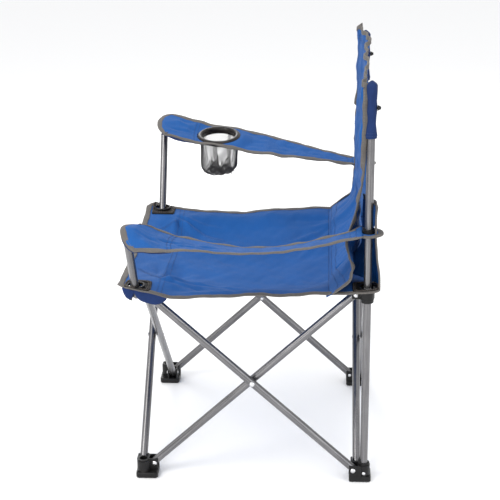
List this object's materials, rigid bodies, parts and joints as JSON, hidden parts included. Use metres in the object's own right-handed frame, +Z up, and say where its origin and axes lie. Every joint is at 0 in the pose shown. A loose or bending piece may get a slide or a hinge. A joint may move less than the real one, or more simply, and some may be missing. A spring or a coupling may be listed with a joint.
{
  "type": "folding camp chair",
  "caption": "Folding camp chair with a scissor tube frame, blue sling seat and back, fabric armrests on posts and a net cup holder in one armrest.",
  "frame": {"origin": "on the floor, under the middle of the open chair", "axes": "+Z up; the sitter faces -Y; +X is the sitter's left, the side without the cup holder"},
  "size_m": [0.7551, 0.51, 0.857],
  "materials": {
    "frame_paint": "satin silver grey powder coat",
    "zinc": "zinc plated",
    "black_plastic": "moulded, lightly grained",
    "gloss_black": "glossy moulded ring",
    "black_webbing": "stitched coated patch with a plastic eyelet",
    "black_net": "knitted polyester net",
    "blue_fabric": "plain weave coated polyester",
    "grey_binding": "ribbed edge binding tape"
  },
  "bodies": {
    "rear_left_foot": {"rear_left_foot": "black_plastic", "rear_left_foot_rivets": "zinc", "left_pole": "frame_paint", "left_pole_cap": "black_plastic", "left_foot_screw": "zinc", "left_back_screw": "black_plastic", "left_pole_pocket": "blue_fabric", "back_fabric": "blue_fabric"},
    "left_outer_tube": {"left_outer_tube": "frame_paint", "left_cross_rivet": "zinc"},
    "front_left_hub": {"front_left_hub": "black_plastic", "front_left_hub_rivets": "zinc", "left_post_pin": "zinc", "front_left_patch": "black_webbing"},
    "left_inner_tube": {"left_inner_tube": "frame_paint"},
    "front_left_foot": {"front_left_foot": "black_plastic", "front_left_foot_rivets": "zinc"},
    "rear_left_hub": {"rear_left_hub": "black_plastic", "rear_left_hub_rivets": "zinc", "rear_left_patch": "black_webbing", "left_gusset": "blue_fabric", "seat_fabric": "blue_fabric"},
    "rear_inner_tube": {"rear_inner_tube": "frame_paint"},
    "rear_right_hub": {"rear_right_hub": "black_plastic", "rear_right_hub_rivets": "zinc", "rear_right_patch": "black_webbing", "right_gusset": "blue_fabric"},
    "rear_outer_tube": {"rear_outer_tube": "frame_paint", "rear_cross_rivet": "zinc"},
    "rear_right_foot": {"rear_right_foot": "black_plastic", "rear_right_foot_rivets": "zinc", "right_pole": "frame_paint", "right_pole_cap": "black_plastic", "right_foot_screw": "zinc", "right_back_screw": "black_plastic", "right_pole_pocket": "blue_fabric"},
    "front_outer_tube": {"front_outer_tube": "frame_paint", "front_cross_rivet": "zinc"},
    "front_inner_tube": {"front_inner_tube": "frame_paint"},
    "front_right_foot": {"front_right_foot": "black_plastic", "front_right_foot_rivets": "zinc"},
    "front_right_hub": {"front_right_hub": "black_plastic", "front_right_hub_rivets": "zinc", "right_post_pin": "zinc", "front_right_patch": "black_webbing"},
    "right_inner_tube": {"right_inner_tube": "frame_paint"},
    "right_outer_tube": {"right_outer_tube": "frame_paint", "right_cross_rivet": "zinc"},
    "left_arm_post": {"left_arm_post": "frame_paint", "left_post_cap": "black_plastic", "left_armrest": "blue_fabric"},
    "right_arm_post": {"right_arm_post": "frame_paint", "right_post_cap": "black_plastic", "right_armrest": "blue_fabric"},
    "left_arm_loop": {"left_arm_loop": "black_plastic"},
    "right_arm_loop": {"right_arm_loop": "black_plastic"},
    "cup_holder": {"cup_ring": "gloss_black", "cup_net": "black_net", "cup_net_floor": "black_net"}
  },
  "joints": [
    {"name": "fold", "type": "hinge", "parent": "rear_left_foot", "child": "left_outer_tube", "pos_m": [0.2305, 0.206, 0.026], "axis": [-1, 0, 0], "range_deg": [0, 43], "deforming": ["seat_fabric", "back_fabric", "left_armrest", "right_armrest", "cup_net", "cup_net_floor", "left_gusset", "right_gusset"]},
    {"name": "front_left_hub_pin", "type": "hinge", "parent": "left_outer_tube", "child": "front_left_hub", "pos_m": [0.2305, -0.206, 0.41], "axis": [-1, 0, 0], "range_deg": [-43, 0]},
    {"name": "left_cross_pin", "type": "hinge", "parent": "left_outer_tube", "child": "left_inner_tube", "pos_m": [0.222, 0, 0.218], "axis": [-1, 0, 0], "range_deg": [-86, 0]},
    {"name": "front_left_foot_pin", "type": "hinge", "parent": "left_inner_tube", "child": "front_left_foot", "pos_m": [0.2135, -0.206, 0.026], "axis": [-1, 0, 0], "range_deg": [0, 43]},
    {"name": "rear_left_hub_pin", "type": "hinge", "parent": "left_inner_tube", "child": "rear_left_hub", "pos_m": [0.2135, 0.206, 0.41], "axis": [-1, 0, 0], "range_deg": [0, 43]},
    {"name": "rear_left_foot_pin", "type": "hinge", "parent": "rear_left_foot", "child": "rear_inner_tube", "pos_m": [0.206, 0.2135, 0.026], "axis": [0, 1, 0], "range_deg": [0, 43]},
    {"name": "rear_right_hub_pin", "type": "hinge", "parent": "rear_inner_tube", "child": "rear_right_hub", "pos_m": [-0.206, 0.2135, 0.41], "axis": [0, 1, 0], "range_deg": [-43, 0]},
    {"name": "rear_cross_pin", "type": "hinge", "parent": "rear_inner_tube", "child": "rear_outer_tube", "pos_m": [0, 0.222, 0.218], "axis": [0, 1, 0], "range_deg": [-86, 0]},
    {"name": "rear_right_foot_pin", "type": "hinge", "parent": "rear_outer_tube", "child": "rear_right_foot", "pos_m": [-0.206, 0.2305, 0.026], "axis": [0, 1, 0], "range_deg": [0, 43]},
    {"name": "front_left_foot_front_pin", "type": "hinge", "parent": "front_left_foot", "child": "front_outer_tube", "pos_m": [0.206, -0.2305, 0.026], "axis": [0, 1, 0], "range_deg": [0, 43]},
    {"name": "front_cross_pin", "type": "hinge", "parent": "front_outer_tube", "child": "front_inner_tube", "pos_m": [0, -0.222, 0.218], "axis": [0, 1, 0], "range_deg": [-86, 0]},
    {"name": "front_right_foot_pin", "type": "hinge", "parent": "front_inner_tube", "child": "front_right_foot", "pos_m": [-0.206, -0.2135, 0.026], "axis": [0, 1, 0], "range_deg": [0, 43]},
    {"name": "front_right_hub_pin", "type": "hinge", "parent": "front_outer_tube", "child": "front_right_hub", "pos_m": [-0.206, -0.2305, 0.41], "axis": [0, 1, 0], "range_deg": [-43, 0]},
    {"name": "rear_right_foot_side_pin", "type": "hinge", "parent": "rear_right_foot", "child": "right_inner_tube", "pos_m": [-0.2135, 0.206, 0.026], "axis": [-1, 0, 0], "range_deg": [0, 43]},
    {"name": "right_cross_pin", "type": "hinge", "parent": "right_inner_tube", "child": "right_outer_tube", "pos_m": [-0.222, 0, 0.218], "axis": [-1, 0, 0], "range_deg": [-86, 0]},
    {"name": "left_post_pivot", "type": "hinge", "parent": "front_left_hub", "child": "left_arm_post", "pos_m": [0.228, -0.228, 0.41], "axis": [0, -1, 0], "range_deg": [0, 31]},
    {"name": "right_post_pivot", "type": "hinge", "parent": "front_right_hub", "child": "right_arm_post", "pos_m": [-0.228, -0.228, 0.41], "axis": [0, 1, 0], "range_deg": [0, 28]},
    {"name": "cup_holder_hinge", "type": "hinge", "parent": "right_arm_post", "child": "cup_holder", "pos_m": [-0.34214, -0.1, 0.58], "axis": [0, 1, 0], "range_deg": [0, 62]},
    {"name": "left_arm_loop_slide", "type": "slide", "parent": "rear_left_foot", "child": "left_arm_loop", "axis": [0, 0, 1], "range_m": [0, 0.151]},
    {"name": "right_arm_loop_slide", "type": "slide", "parent": "rear_right_foot", "child": "right_arm_loop", "axis": [0, 0, 1], "range_m": [0, 0.151]}
  ],
  "couplings": [
    {"joint": "front_left_hub_pin", "follows": "fold", "ratio": -1},
    {"joint": "left_cross_pin", "follows": "fold", "ratio": -2},
    {"joint": "front_left_foot_pin", "follows": "fold", "ratio": 1},
    {"joint": "rear_left_hub_pin", "follows": "fold", "ratio": 1},
    {"joint": "rear_left_foot_pin", "follows": "fold", "ratio": 1},
    {"joint": "rear_right_hub_pin", "follows": "fold", "ratio": -1},
    {"joint": "rear_cross_pin", "follows": "fold", "ratio": -2},
    {"joint": "rear_right_foot_pin", "follows": "fold", "ratio": 1},
    {"joint": "front_left_foot_front_pin", "follows": "fold", "ratio": 1},
    {"joint": "front_cross_pin", "follows": "fold", "ratio": -2},
    {"joint": "front_right_foot_pin", "follows": "fold", "ratio": 1},
    {"joint": "front_right_hub_pin", "follows": "fold", "ratio": -1},
    {"joint": "rear_right_foot_side_pin", "follows": "fold", "ratio": 1},
    {"joint": "right_cross_pin", "follows": "fold", "ratio": -2},
    {"joint": "left_post_pivot", "follows": "fold", "ratio": 0.72093},
    {"joint": "right_post_pivot", "follows": "fold", "ratio": 0.65116},
    {"joint": "cup_holder_hinge", "follows": "fold", "ratio": 1.4419},
    {"joint": "left_arm_loop_slide", "follows": "fold", "m_per_rad": 0.2},
    {"joint": "right_arm_loop_slide", "follows": "fold", "m_per_rad": 0.2}
  ]
}
